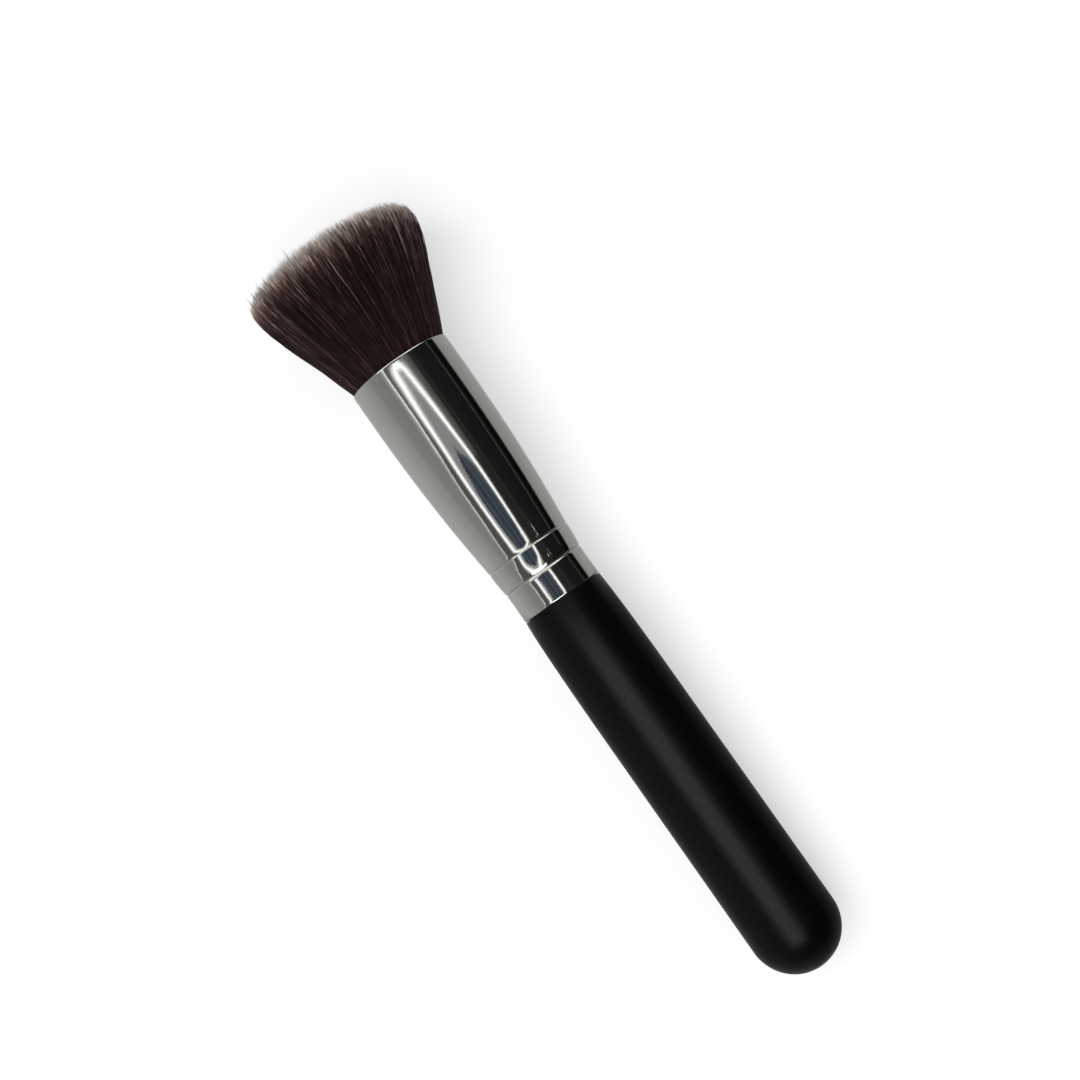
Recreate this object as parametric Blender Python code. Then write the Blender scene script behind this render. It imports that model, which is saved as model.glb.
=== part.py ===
"""A flat-topped cosmetic brush, lying on a table as it comes to rest.

A turned wooden handle is glued by its tenon into a tapered metal ferrule, which holds a tied and
glued tuft of filaments. The long axis runs along X with the tuft at +X, the table is the plane
Z = 0, and the origin is the middle of the footprint. Lengths are in metres.

Each piece is drawn along its own local Z, the axis of the brush: the ferrule's mouth is at zero,
the tuft rises above it and the handle runs down below it. Local X points down at the table.
"""

import math
import random

import bmesh
import bpy
import numpy as np

# Ferrule: a drawn tube, straight at the mouth, tapered, then straight again at the neck
FERRULE_LENGTH = 0.0560
MOUTH_RADIUS = 0.0111
NECK_RADIUS = 0.00876
FERRULE_WALL = 0.0005
MOUTH_STRAIGHT = 0.0066
NECK_STRAIGHT = 0.0047
TAPER_SLOPE_SHARES = (0.611, 0.854)
END_ROUND = 0.00018

# Two fine lines rolled round the ferrule near the handle
REAR_LINE_INSET = 0.0064
LINE_SPACING = 0.0052
LINE_WIDTH = 0.0004
LINE_DEPTH = 0.00014

# Handle: what shows behind the ferrule, with its domed end
HANDLE_LENGTH = 0.0876
HANDLE_BODY_RADIUS = 0.00932
HANDLE_END_RADIUS = 0.0094
SWELL_LENGTH = 0.028
SWELL_HEIGHT_SHARES = (0.0, 0.12, 0.40, 1.0)
SWELL_RISE_SHARES = (0.0, 0.50, 0.97, 1.0)
SHOULDER_ROUND = 0.00012

# Tenon and the glue round it
TENON_LENGTH = 0.0150
TENON_CHAMFER = 0.0008
GLUE_LINE = 0.00025
GLUE_SHORT_OF_TENON = 0.0020

# Tuft: the loose length of the filaments above the mouth
HEAD_HEIGHT = 0.0268
HEAD_RADIUS = 0.01905
HEAD_CORNER = 0.0030
HEAD_LEAN = 0.0010
TOP_SKEW = 0.00035
PRESS_DEPTH = 0.0005
SPREAD_HEIGHT_SHARES = (0.0, 0.36, 0.75, 1.0)
SPREAD_RADIUS_SHARES = (0.0, 0.46, 0.92, 1.0)

# Tuft: its strands, as shares of the spacing between their rings
STRAND_RINGS = 12
STRANDS_IN_FIRST_RING = 6
STRAND_SIDES = 3
OUTER_MARGIN_SHARE = 0.75
STRAND_RADIUS_SHARES = (0.46, 0.70, 0.50)
STRAND_STATION_SHARES = (0.0, 0.55, 1.0)
TIP_SCATTER_SHARE = 0.22
LENGTH_SCATTER_SHARE = 0.50
PRESSED_CENTRE_SHARE = 0.50
STRAND_SEED = 7

# Tuft: the packed roots inside the ferrule, and the thread that ties them
ROOT_DEPTH = 0.0200
ROOT_LIP = 0.0012
STRAND_EMBED = 0.0003
THREAD_DIAMETER = 0.0006
THREAD_TURNS = 4
THREAD_GAP = 0.00045
THREAD_POINTS_PER_TURN = 24

# Plug of glue behind the roots
PLUG_LENGTH = 0.0055
PLUG_MENISCUS = 0.0014
PLUG_EDGE = 0.0004

# Clearances
FIT_GAP = 0.00015
SEAT_GAP = 0.0003
SHOULDER_GAP = 0.0001

# Fineness of the turned shapes
SIDES = 40
TAPER_STEPS = 16
SWELL_STEPS = 7
DOME_STEPS = 9
ROUND_STEPS = 3
MENISCUS_STEPS = 5
BISECTIONS = 40
MERGE_DISTANCE = 1e-7
SHARP_ANGLE = math.radians(35)


def clear_scene():
    for obj in list(bpy.data.objects):
        bpy.data.objects.remove(obj, do_unlink=True)


def make_material(name, colour, roughness, metallic):
    material = bpy.data.materials.new(name)
    material.use_nodes = True
    shader = material.node_tree.nodes["Principled BSDF"]
    shader.inputs["Base Color"].default_value = (*colour, 1.0)
    shader.inputs["Roughness"].default_value = roughness
    shader.inputs["Metallic"].default_value = metallic
    material.diffuse_color = (*colour, 1.0)
    return material


def bezier(shares, t):
    """One coordinate of a cubic curve at t, from its four control values."""
    a, b, c, d = shares
    u = 1 - t
    return a * u**3 + 3 * b * u**2 * t + 3 * c * u * t**2 + d * t**3


def steps(count):
    """Evenly spaced values from 0 to 1, with both ends."""
    return [i / count for i in range(count + 1)]


def arc(centre, radius, start, end, count):
    """Points (radius, height) along an arc in the outline's plane; angles in degrees from outward."""
    points = []
    for t in steps(count):
        angle = math.radians(start + (end - start) * t)
        points.append((centre[0] + radius * math.cos(angle), centre[1] + radius * math.sin(angle)))
    return points


def link_object(name, data, material, axis_frame):
    obj = bpy.data.objects.new(name, data)
    bpy.context.scene.collection.objects.link(obj)
    obj.parent = axis_frame
    obj.data.materials.append(material)
    return obj


def turned(name, outline, closed, material, axis_frame):
    """A body of revolution about the brush's axis from (radius, height) points, outer side running down."""
    bm = bmesh.new()
    verts = [bm.verts.new((radius, 0, height)) for radius, height in outline]
    edges = [bm.edges.new(pair) for pair in zip(verts, verts[1:])]
    if closed:
        edges.append(bm.edges.new((verts[-1], verts[0])))
    bmesh.ops.spin(
        bm,
        geom=verts + edges,
        cent=(0, 0, 0),
        axis=(0, 0, 1),
        angle=math.tau,
        steps=SIDES,
        use_merge=True,
    )
    bmesh.ops.remove_doubles(bm, verts=bm.verts, dist=MERGE_DISTANCE)
    bmesh.ops.recalc_face_normals(bm, faces=bm.faces)
    mesh = bpy.data.meshes.new(name)
    bm.to_mesh(mesh)
    bm.free()
    mesh.shade_smooth()
    mesh.set_sharp_from_angle(angle=SHARP_ANGLE)
    return link_object(name, mesh, material, axis_frame)


def taper_length():
    return FERRULE_LENGTH - MOUTH_STRAIGHT - NECK_STRAIGHT


def taper_curve(t):
    """Depth below the mouth and outer radius of the ferrule, part of the way t down its taper."""
    early, late = TAPER_SLOPE_SHARES
    depth = MOUTH_STRAIGHT + taper_length() * bezier((0.0, early, late, 1.0), t)
    radius = bezier((MOUTH_RADIUS, MOUTH_RADIUS, NECK_RADIUS, NECK_RADIUS), t)
    return depth, radius


def outer_radius(depth):
    """Outer radius of the ferrule at a depth below the mouth, without its rolled lines."""
    if depth <= MOUTH_STRAIGHT:
        return MOUTH_RADIUS
    if depth >= FERRULE_LENGTH - NECK_STRAIGHT:
        return NECK_RADIUS
    low, high = 0.0, 1.0
    for _ in range(BISECTIONS):
        middle = (low + high) / 2
        if taper_curve(middle)[0] < depth:
            low = middle
        else:
            high = middle
    return taper_curve(low)[1]


def inner_radius(depth):
    return outer_radius(depth) - FERRULE_WALL


def line_depths():
    """Depths of the two rolled lines below the mouth."""
    rear = FERRULE_LENGTH - REAR_LINE_INSET
    return rear - LINE_SPACING, rear


def ferrule_outside():
    """Outer side of the ferrule from just below the mouth's edge to just above the handle's."""
    depths = [taper_curve(t)[0] for t in steps(TAPER_STEPS)]
    for line in line_depths():
        depths = [d for d in depths if abs(d - line) > LINE_WIDTH]
        depths += [line - LINE_WIDTH / 2, line, line + LINE_WIDTH / 2]
    points = []
    for depth in sorted(depths):
        pressed = LINE_DEPTH if depth in line_depths() else 0.0
        points.append((outer_radius(depth) - pressed, -depth))
    return points


def ferrule(material, axis_frame):
    """The tube: a full round at the mouth's edge, a small round at the handle's, open at both ends."""
    edge = FERRULE_WALL / 2
    mouth = arc((MOUTH_RADIUS - edge, -edge), edge, 180, 0, 2 * ROUND_STEPS)
    rear = arc((NECK_RADIUS - END_ROUND, END_ROUND - FERRULE_LENGTH), END_ROUND, 0, -90, ROUND_STEPS)
    inside_depths = [FERRULE_LENGTH] + [taper_curve(t)[0] for t in reversed(steps(TAPER_STEPS // 2))]
    inside = [(inner_radius(depth), -depth) for depth in inside_depths]
    return turned("ferrule", mouth + ferrule_outside() + rear + inside, True, material, axis_frame)


def tenon_radius():
    """The tenon leaves room in the neck for the glue and its two clearances."""
    return NECK_RADIUS - FERRULE_WALL - GLUE_LINE - 2 * FIT_GAP


def tip_depth():
    return FERRULE_LENGTH + HANDLE_LENGTH


def handle(material, axis_frame):
    """Tenon, shoulder flush with the ferrule, quick swell, long body and a domed end."""
    tenon_end = -(FERRULE_LENGTH - TENON_LENGTH)
    shoulder = -(FERRULE_LENGTH + SHOULDER_GAP)
    outline = [
        (0, tenon_end),
        (tenon_radius() - TENON_CHAMFER, tenon_end),
        (tenon_radius(), tenon_end - TENON_CHAMFER),
        (tenon_radius(), shoulder),
    ]
    swell_top = shoulder - SHOULDER_ROUND
    outline += arc((NECK_RADIUS - SHOULDER_ROUND, swell_top), SHOULDER_ROUND, 90, 0, ROUND_STEPS)
    for t in steps(SWELL_STEPS)[1:]:
        rise = bezier(SWELL_RISE_SHARES, t) * (HANDLE_BODY_RADIUS - NECK_RADIUS)
        outline.append((NECK_RADIUS + rise, swell_top - SWELL_LENGTH * bezier(SWELL_HEIGHT_SHARES, t)))
    dome_centre = (0, HANDLE_END_RADIUS - tip_depth())
    outline += arc(dome_centre, HANDLE_END_RADIUS, 0, -90, DOME_STEPS)[:-1]
    outline.append((0, -tip_depth()))
    return turned("handle", outline, False, material, axis_frame)


def bundle_radius():
    """Radius of the packed roots at the mouth."""
    return MOUTH_RADIUS - FERRULE_WALL - SEAT_GAP


def thread_pitch():
    return THREAD_DIAMETER + THREAD_GAP


def binding_length():
    """Length along the roots that the thread takes, over all."""
    return THREAD_TURNS * thread_pitch() + THREAD_DIAMETER


def binding_bottom():
    """Depth of the lower end of the binding."""
    return ROOT_DEPTH - ROOT_LIP - SEAT_GAP


def thread_radius():
    """Radius of the winding, to the middle of the thread."""
    return inner_radius(ROOT_DEPTH) - SEAT_GAP - THREAD_DIAMETER / 2


def waist_radius():
    return thread_radius() - THREAD_DIAMETER / 2 - FIT_GAP


def packed_roots(material, axis_frame):
    """The slice of packed filaments that the strands stand on, drawn in where the thread ties it."""
    waist_top = binding_bottom() - binding_length() - SEAT_GAP
    waist_bottom = ROOT_DEPTH - ROOT_LIP
    step = bundle_radius() - waist_radius()
    outline = [
        (0, 0),
        (bundle_radius(), 0),
        (inner_radius(waist_top - step) - SEAT_GAP, step - waist_top),
        (waist_radius(), -waist_top),
        (waist_radius(), -waist_bottom),
        (inner_radius(ROOT_DEPTH) - SEAT_GAP, -ROOT_DEPTH),
        (0, -ROOT_DEPTH),
    ]
    return turned("bristle_bundle", outline, False, material, axis_frame)


def ring_pitch():
    return bundle_radius() / (STRAND_RINGS + OUTER_MARGIN_SHARE)


def rest_angle():
    """How far the tuft is lifted: the dome and the pressed edge of the head both touch the table."""
    reach = HEAD_HEIGHT - HEAD_CORNER + tip_depth() - HANDLE_END_RADIUS
    pressed = HEAD_RADIUS - PRESS_DEPTH
    return math.acos(HANDLE_END_RADIUS / math.hypot(reach, pressed)) - math.atan2(reach, pressed)


def mouth_height():
    """Height of the mouth's centre above the table."""
    return HANDLE_END_RADIUS + (tip_depth() - HANDLE_END_RADIUS) * math.sin(rest_angle())


def height_above_table(x, z):
    return mouth_height() + z * math.sin(rest_angle()) - x * math.cos(rest_angle())


def raised(x, z, least):
    """The local x that brings a point at (x, z) up to the least height above the table."""
    short = least - height_above_table(x, z)
    return x - max(short, 0) / math.cos(rest_angle())


def tip_height(radius, sideways):
    """Height of a strand's tip: flat over the top, rounded at the edge and a little higher on one side."""
    past = min(max(radius - (HEAD_RADIUS - HEAD_CORNER), 0), HEAD_CORNER)
    drop = HEAD_CORNER - math.sqrt(HEAD_CORNER**2 - past**2)
    return HEAD_HEIGHT - drop + TOP_SKEW * sideways / HEAD_RADIUS


def strand_centres(ring, angle, rng):
    """Centre and radius of a strand at each of its stations, from its foot to its tip."""
    pitch = ring_pitch()
    foot_radius = ring * pitch
    tip_radius = (HEAD_RADIUS - pitch * STRAND_RADIUS_SHARES[-1]) * ring / STRAND_RINGS
    scatter = pitch * TIP_SCATTER_SHARE * rng.random()
    scatter_angle = math.tau * rng.random()
    length = tip_height(tip_radius, tip_radius * math.sin(angle))
    length += pitch * LENGTH_SCATTER_SHARE * (rng.random() - 1)
    centres = []
    for t, share in zip(STRAND_STATION_SHARES, STRAND_RADIUS_SHARES):
        spread = bezier(SPREAD_RADIUS_SHARES, t)
        radius = foot_radius + (tip_radius - foot_radius) * spread
        x = radius * math.cos(angle) + spread * scatter * math.cos(scatter_angle)
        y = radius * math.sin(angle) + spread * scatter * math.sin(scatter_angle) - spread * HEAD_LEAN
        z = length * bezier(SPREAD_HEIGHT_SHARES, t)
        size = pitch * share
        centres.append((raised(x, z, size * PRESSED_CENTRE_SHARE), y, z, size))
    x, y, z, size = centres[0]
    centres[0] = (x, y, z - STRAND_EMBED, size)
    return centres


def add_strand(bm, centres, turn):
    """One closed strand: a ring of points at each station, none of them below the table."""
    rings = []
    for x, y, z, size in centres:
        ring = []
        for side in range(STRAND_SIDES):
            angle = turn + math.tau * side / STRAND_SIDES
            corner = x + size * math.cos(angle)
            ring.append(bm.verts.new((raised(corner, z, 0), y + size * math.sin(angle), z)))
        rings.append(ring)
    bm.faces.new(reversed(rings[0]))
    bm.faces.new(rings[-1])
    for lower, upper in zip(rings, rings[1:]):
        for side in range(STRAND_SIDES):
            after = (side + 1) % STRAND_SIDES
            bm.faces.new((lower[side], lower[after], upper[after], upper[side]))


def strands(material, axis_frame):
    """All the strands, ring by ring, as separate closed shapes that the bundle is joined with."""
    rng = random.Random(STRAND_SEED)
    bm = bmesh.new()
    add_strand(bm, strand_centres(0, 0, rng), math.tau * rng.random())
    for ring in range(1, STRAND_RINGS + 1):
        count = STRANDS_IN_FIRST_RING * ring
        start = math.tau * rng.random()
        for place in range(count):
            angle = start + math.tau * place / count
            add_strand(bm, strand_centres(ring, angle, rng), math.tau * rng.random())
    mesh = bpy.data.meshes.new("strands")
    bm.to_mesh(mesh)
    bm.free()
    guide = link_object("strands", mesh, material, axis_frame)
    guide.hide_render = True
    guide.display_type = "WIRE"
    return guide


def bristle_bundle(material, axis_frame):
    """The tuft: strands joined to the slice of roots that they stand on, as one body."""
    bundle = packed_roots(material, axis_frame)
    join = bundle.modifiers.new("strands", "BOOLEAN")
    join.operation = "UNION"
    join.object = strands(material, axis_frame)
    return bundle


def root_binding(material, axis_frame):
    """The tie: one thread wound in a helix round the waist of the roots."""
    curve = bpy.data.curves.new("root_binding", "CURVE")
    curve.dimensions = "3D"
    curve.bevel_depth = THREAD_DIAMETER / 2
    curve.bevel_resolution = 1
    curve.use_fill_caps = True
    count = THREAD_TURNS * THREAD_POINTS_PER_TURN
    spline = curve.splines.new("POLY")
    spline.points.add(count)
    bottom = -binding_bottom() + THREAD_DIAMETER / 2
    for i in range(count + 1):
        turns = i / THREAD_POINTS_PER_TURN
        x = thread_radius() * math.cos(math.tau * turns)
        y = thread_radius() * math.sin(math.tau * turns)
        spline.points[i].co = (x, y, bottom + thread_pitch() * turns, 1)
    return link_object("root_binding", curve, material, axis_frame)


def root_glue(material, axis_frame):
    """The plug of set glue behind the roots, its free face drawn up the wall in a shallow dish."""
    top = ROOT_DEPTH + SEAT_GAP
    bottom = top + PLUG_LENGTH
    outline = [(0, -top)]
    for depth in (top, (top + bottom) / 2, bottom):
        outline.append((inner_radius(depth) - FIT_GAP, -depth))
    lip = inner_radius(bottom) - FIT_GAP - PLUG_EDGE
    for t in steps(MENISCUS_STEPS):
        outline.append((lip * (1 - t), -bottom + PLUG_MENISCUS * (1 - (1 - t) ** 2)))
    return turned("root_glue", outline, False, material, axis_frame)


def tenon_glue(material, axis_frame):
    """The sleeve of set glue between the tenon and the ferrule, thin at the neck, thicker inside."""
    top = FERRULE_LENGTH - TENON_LENGTH + GLUE_SHORT_OF_TENON
    bottom = FERRULE_LENGTH - SEAT_GAP
    depths = [top + (bottom - top) * t for t in steps(TAPER_STEPS // 2)]
    outside = [(inner_radius(depth) - FIT_GAP, -depth) for depth in depths]
    inside = [(tenon_radius() + FIT_GAP, -bottom), (tenon_radius() + FIT_GAP, -top)]
    return turned("tenon_glue", outside + inside, True, material, axis_frame)


def footprint_centre(pieces):
    """Middle of the pieces' bounding box, seen from above."""
    bpy.context.view_layer.update()
    graph = bpy.context.evaluated_depsgraph_get()
    corners = []
    for piece in pieces:
        evaluated = piece.evaluated_get(graph)
        mesh = evaluated.to_mesh()
        points = np.empty(len(mesh.vertices) * 3)
        mesh.vertices.foreach_get("co", points)
        evaluated.to_mesh_clear()
        world = np.array(evaluated.matrix_world)
        placed = points.reshape(-1, 3) @ world[:3, :3].T + world[:3, 3]
        corners += [placed.min(axis=0), placed.max(axis=0)]
    return (np.min(corners, axis=0) + np.max(corners, axis=0)) / 2


def build():
    clear_scene()
    axis_frame = bpy.data.objects.new("brush_axis", None)
    bpy.context.scene.collection.objects.link(axis_frame)
    axis_frame.rotation_euler = (0, math.pi / 2 - rest_angle(), 0)
    axis_frame.location = (0, 0, mouth_height())

    lacquer = make_material("black_lacquer", (0.012, 0.012, 0.013), 0.38, 0.0)
    plating = make_material("bright_plating", (0.80, 0.80, 0.79), 0.06, 1.0)
    filament = make_material("brown_filament", (0.030, 0.016, 0.013), 0.50, 0.0)
    cord = make_material("cotton_thread", (0.62, 0.57, 0.47), 0.90, 0.0)
    resin = make_material("amber_resin", (0.55, 0.38, 0.16), 0.30, 0.0)

    pieces = [
        handle(lacquer, axis_frame),
        ferrule(plating, axis_frame),
        bristle_bundle(filament, axis_frame),
        root_binding(cord, axis_frame),
        root_glue(resin, axis_frame),
        tenon_glue(resin, axis_frame),
    ]
    centre = footprint_centre(pieces)
    axis_frame.location = (-centre[0], -centre[1], mouth_height())


build()
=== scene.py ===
"""The blush brush as it looks: satin black handle, mirror ferrule and a dense tuft of brown filaments.

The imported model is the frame. The handle, the ferrule and the tuft are drawn again, finer, where their
solids are; the thread and the glue inside keep their solids. Lengths are in metres. Pieces are drawn in
the brush's own frame: Z along its axis from the ferrule's mouth towards the tuft, X down at the table,
Y across.
"""

import math

import bpy
import numpy as np
from mathutils import Matrix, Vector


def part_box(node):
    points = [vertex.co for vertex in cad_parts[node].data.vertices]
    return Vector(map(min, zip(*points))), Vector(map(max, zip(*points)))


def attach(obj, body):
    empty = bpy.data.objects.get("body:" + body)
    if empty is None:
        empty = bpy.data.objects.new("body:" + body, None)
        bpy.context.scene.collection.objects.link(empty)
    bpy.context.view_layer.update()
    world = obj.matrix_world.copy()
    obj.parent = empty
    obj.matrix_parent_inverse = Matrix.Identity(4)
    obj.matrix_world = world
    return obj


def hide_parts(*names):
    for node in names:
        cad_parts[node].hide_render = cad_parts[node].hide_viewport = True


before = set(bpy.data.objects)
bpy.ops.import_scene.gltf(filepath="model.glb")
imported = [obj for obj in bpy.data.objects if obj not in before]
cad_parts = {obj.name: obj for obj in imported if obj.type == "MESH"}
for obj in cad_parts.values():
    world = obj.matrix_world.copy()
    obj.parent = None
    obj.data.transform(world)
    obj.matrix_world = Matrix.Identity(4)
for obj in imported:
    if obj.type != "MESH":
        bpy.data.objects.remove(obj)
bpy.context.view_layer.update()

# Sizes shared with the part
FERRULE_LENGTH = 0.0560
MOUTH_RADIUS = 0.0111
NECK_RADIUS = 0.00876
FERRULE_WALL = 0.0005
MOUTH_STRAIGHT = 0.0066
NECK_STRAIGHT = 0.0047
TAPER_SLOPE_SHARES = (0.611, 0.854)
END_ROUND = 0.00018
REAR_LINE_INSET = 0.0064
LINE_SPACING = 0.0052
HANDLE_LENGTH = 0.0876
HANDLE_BODY_RADIUS = 0.00932
HANDLE_END_RADIUS = 0.0094
SWELL_LENGTH = 0.028
SWELL_HEIGHT_SHARES = (0.0, 0.12, 0.40, 1.0)
SWELL_RISE_SHARES = (0.0, 0.50, 0.97, 1.0)
SHOULDER_ROUND = 0.00012
SHOULDER_GAP = 0.0001
TENON_LENGTH = 0.0150
TENON_CHAMFER = 0.0008
TENON_RADIUS = 0.00771
HEAD_HEIGHT = 0.0268
HEAD_RADIUS = 0.01905
HEAD_CORNER = 0.0030
TOP_SKEW = 0.00035
PRESS_DEPTH = 0.0005

# Rolled lines, the bulge between them and the eased mouth
LINE_HALF_WIDTH = 0.00022
LINE_DEPTH = 0.00011
LINE_SHOULDER = 0.0009
LINE_SHOULDER_DEPTH = 0.00003
BEAD_HEIGHT = 0.00011
MOUTH_EASE = 0.0030
MOUTH_EASE_DEPTH = 0.000045

# Fineness of the turned bodies
AROUND = 256
FIRST_RING_SHARE = 0.05
MOUTH_STEPS = 24
TAPER_STEPS = 90
TAPER_TABLE_STEPS = 2000
BEAD_STEPS = 60
LINE_STEPS = 10
BORE_STEPS = 40
SWELL_STEPS = 40
BODY_STEPS = 12
DOME_STEPS = 40
ROUND_STEPS = 6
CLOSEST_RINGS = 0.00001
SHARP_ANGLE = math.radians(50)

# Filaments, from FILAMENT_START inside the mouth to past the head's height by TUFT_OVER
FILAMENTS = 21000
FILAMENT_SETS = 6
FILAMENT_SEED = 11
FILAMENT_RADIUS = 0.000064
FILAMENT_SIDES = 3
FILAMENT_STATIONS = (0.0, 0.12, 0.25, 0.38, 0.50, 0.61, 0.72, 0.83, 0.93, 1.0)
FILAMENT_TAPER = (1.0, 1.0, 1.0, 1.0, 1.0, 0.98, 0.94, 0.85, 0.62, 0.0)
FILAMENT_START = 0.0030
ROOT_RADIUS = 0.01045
ROOT_JITTER = 0.8
MOUTH_SPILL = 0.00045
MOUTH_SPILL_RISE = 0.0012
SPREAD_HEIGHT_SHARES = (0.0, 0.474, 0.742, 1.0)
SPREAD_RADIUS_SHARES = (0.0, 0.466, 1.087, 1.0)
SPREAD_TABLE_STEPS = 400
TUFT_LEAN = 0.0009
TUFT_OVER = 0.0013
TABLE_GAP = 0.00002

# Locks of neighbours, which lean and draw together towards the top
LOCKS = 2600
LOCK_JITTER = 3.0
LOCK_DISC_SHARE = 0.985
LOCK_SCATTER_SHARE = 0.008
LOCK_PULL = 0.20
LOCK_PULL_CURVE = 1.8
LOCK_LEAN = 0.00018

# By how much some filaments are shorter, and the strays longer
RIM_START_SHARE = 0.78
RIM_SHORTER = 0.0006
UPPER_RIM_SHORTER = 0.0042
UPPER_CURVE = 0.8
LOCK_SHORTER = 0.00015
LOCK_INSIDE_SHARE = 0.3
OWN_SHORTER = 0.0009
STOUT_SHARE = 0.20
STOUT_SHORTER = 0.0011
SHORT_SHARE = 0.25
SHORT_SHORTER = 0.0080
SHORT_INSIDE_SHARE = 0.2
STRAYS = 11
STRAY_RING_SHARES = (0.80, 0.97)
STRAY_LOWEST_SHARE = 0.2
STRAY_RIGHTMOST_SHARE = 0.3
STRAY_OVER = 0.0001
STRAY_OVER_MORE = 0.0006

# Bends, by their size at the top of the tuft
BEND_CURVE = 1.3
CLUMP_WAVES = 7
CLUMP_WAVE_LENGTHS = (0.0020, 0.0060)
CLUMP_LEAN = 0.00005
OUTWARD_LEAN = 0.00036
SIDEWAYS_LEAN = 0.00085
LOOSE_SIDEWAYS = 1.75
WAVE_SIZE = 0.00028
WAVE_TURNS = 1.2
WAVE_TURNS_MORE = 1.6
WAVE_LOW_SHARE = 0.35
WAVE_LOW_RISE = 0.005
RIM_STIFFNESS = 0.5

# Thickness of the filaments, as shares of their radius
THIN_SHARE = 0.75
THIN_MORE_SHARE = 0.45
RIM_THICK_SHARE = 1.35
RIM_THICK_START_SHARE = 0.86
STOUT_THICK_SHARE = 1.9
STRAY_THICK_SHARE = 1.3

# Tones: how deep below the top a filament's colour seems, and how pale it is
DEEPER_SHARE = 0.20
DEEPER = 0.0045
DEPTH_SCATTER = 0.0008
STRAY_DEPTH = 0.0050
TONE_LEAST = 0.05
TONE_MORE = 0.82
TONE_STOUT = 0.12
# Painted light: filaments towards both sides of the tuft are lighter, and more on the right, which the lamp
# leaves in shade
PAINTED_LIGHT_SIDES = 0.04
PAINTED_LIGHT_RIGHT = 0.16
TONE_BAND = 0.06
TONE_BAND_PLACE_SHARE = 0.38
TONE_BAND_WIDTH_SHARE = 0.24
STRETCHES_PER_MM = 0.33
STRETCHES_APART = 977.0

# The filaments' map: strips in columns, with margins between them
MAP_COLUMNS = 500
MAP_STRIP_SHARES = (0.8, 0.94)
MAP_MARGIN_SHARES = (0.1, 0.03)
MAP_CAP_SHARE = 0.01

# Camera, from the foot of its perpendicular on the brush's axis; its roll is a cosine and a sine
CAMERA_BEHIND_MOUTH = 0.0604
CAMERA_DISTANCE = 0.3555
CAMERA_ASIDE = 0.00296
CAMERA_TILT = math.radians(2.608)
CAMERA_ROLL = (-0.57663, -0.81700)
CAMERA_LENS = 60.06
CAMERA_SENSOR = 36.0
CAMERA_CLIP = 0.01

# Lamp and sky
KEY_PLACE = (-0.14, 0.46, 1.40)
KEY_SIZES = (1.8, 0.86)
KEY_POWER = 15.6
SKY_STRENGTH = 0.35

# Floor: how far it goes, where what is seen of it fades to plain white, and how it glows nearer by
FLOOR_REACH = 4.0
FLOOR_DROP = 0.0001
FLOOR_FADE = (0.22, 0.7)
FLOOR_STRENGTH = 1.43
FLOOR_LIFT = 0.37

# The studio that only the metal and the lacquer see. Its places are along and across the brush from
# below the camera, and its heights are above the axis. First the ring lamp: its outer and inner edge, in
# millimetres, and how many times further its glow reaches.
RING_HEIGHT = 0.355
RING_SPREAD = 2.3
RING_STRENGTH = 3.0
RING_HALF_GLOW = [(0.0, 0.0), (0.125, 0.06), (0.25, 0.26), (0.375, 0.68)]
RING = (
    (140, 25, 124, 20), (139, 70, 123, 30), (134, 111, 121, 40), (127, 132, 117, 50), (118, 144, 112, 62),
    (107, 156, 104, 82), (93, 164, 90, 97), (77, 168, 75, 111), (61, 178, 60, 124), (45, 195, 44, 145),
    (27, 208, 26, 157), (8, 216, 8, 169), (-11, 225, -10, 177), (-30, 234, -27, 180), (-44, 236, -38, 174),
    (-56, 225, -48, 155), (-65, 205, -56, 130), (-74, 170, -62, 105), (-80, 130, -66, 80), (-83, 80, -68, 60),
    (-80, 20, -67, 40), (-72, -25, -63, 18), (-60, -58, -55, 0), (-46, -78, -44, -25), (-33, -92, -33, -52),
    (-22, -100, -24, -68), (-9, -106, -8, -77), (9, -113, 9, -80), (26, -118, 26, -84), (43, -119, 43, -82),
    (59, -109, 59, -70), (75, -101, 74, -58), (90, -98, 89, -47), (104, -89, 103, -33), (112, -80, 110, -22),
    (120, -72, 116, -5), (129, -62, 120, 5), (136, -45, 123, 12), (140, -10, 124, 17),
)

# Grey inside the ring lamp, just above it, and the outline of the dark figure in front of that
INSIDE_RISE = 0.003
INSIDE_HUB = (0.025, 0.05)
INSIDE_COLOUR = (0.64, 0.64, 0.67)
FIGURE_HEIGHT = 0.3565
FIGURE_HUB = (0.0, 0.03)
FIGURE_COLOURS = ((0.044, 0.056, 0.084), (0.195, 0.235, 0.305))
FIGURE_STREAKS = (4, 60, 1)
FIGURE = (
    (-0.052, 0.010), (-0.040, -0.025), (-0.033, -0.045), (0.000, -0.072), (0.037, -0.069), (0.043, -0.040),
    (0.051, 0.003), (0.056, 0.017), (0.051, 0.039), (0.043, 0.066), (0.035, 0.081), (0.026, 0.100),
    (0.015, 0.124), (0.000, 0.134), (-0.015, 0.138), (-0.030, 0.138), (-0.042, 0.112), (-0.052, 0.066),
)

# Low lamp: its two ends along, and where its right and left edges are at them
LOW_LAMP_HEIGHT = 0.060
LOW_LAMP_ENDS = (-0.001, -0.11)
LOW_LAMP_EDGES = ((-0.018, -0.008), (0.032, 0.036))
LOW_LAMP_STRENGTH = 5.8
LOW_LAMP_STOPS = [(0.0, 0.45), (0.25, 0.82), (0.5, 0.82), (0.75, 0.92), (1.0, 0.35)]

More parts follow.
